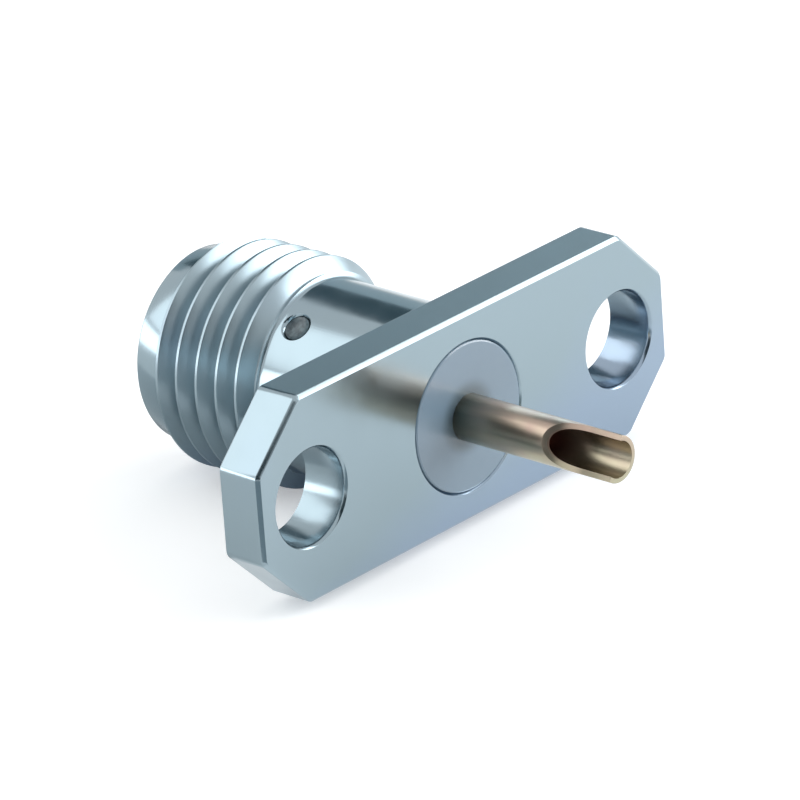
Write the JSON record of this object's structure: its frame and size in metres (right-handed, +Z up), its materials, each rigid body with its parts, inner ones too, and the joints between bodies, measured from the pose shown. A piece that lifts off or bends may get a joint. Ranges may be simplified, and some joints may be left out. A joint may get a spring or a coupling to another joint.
{
  "type": "flange mount coaxial jack",
  "caption": "Panel-mount coaxial jack: threaded barrel with a slotted socket contact, long flange with mounting holes, and a solder-cup tail.",
  "frame": {"origin": "centre of the flange's rear face, on the connector's axis", "axes": "+Y along the axis to the mating end, +X along the flange, +Z up"},
  "size_m": [0.016, 0.0145, 0.0062],
  "materials": {
    "body_steel": "turned and passivated, satin",
    "insulator_ptfe": "waxy, slightly translucent",
    "contact_gold": "thin gold plate over turned metal",
    "potting_epoxy": "cured resin"
  },
  "bodies": {
    "root": {"body": "body_steel", "insulator": "insulator_ptfe", "contact": "contact_gold", "potting": "potting_epoxy"}
  },
  "joints": []
}
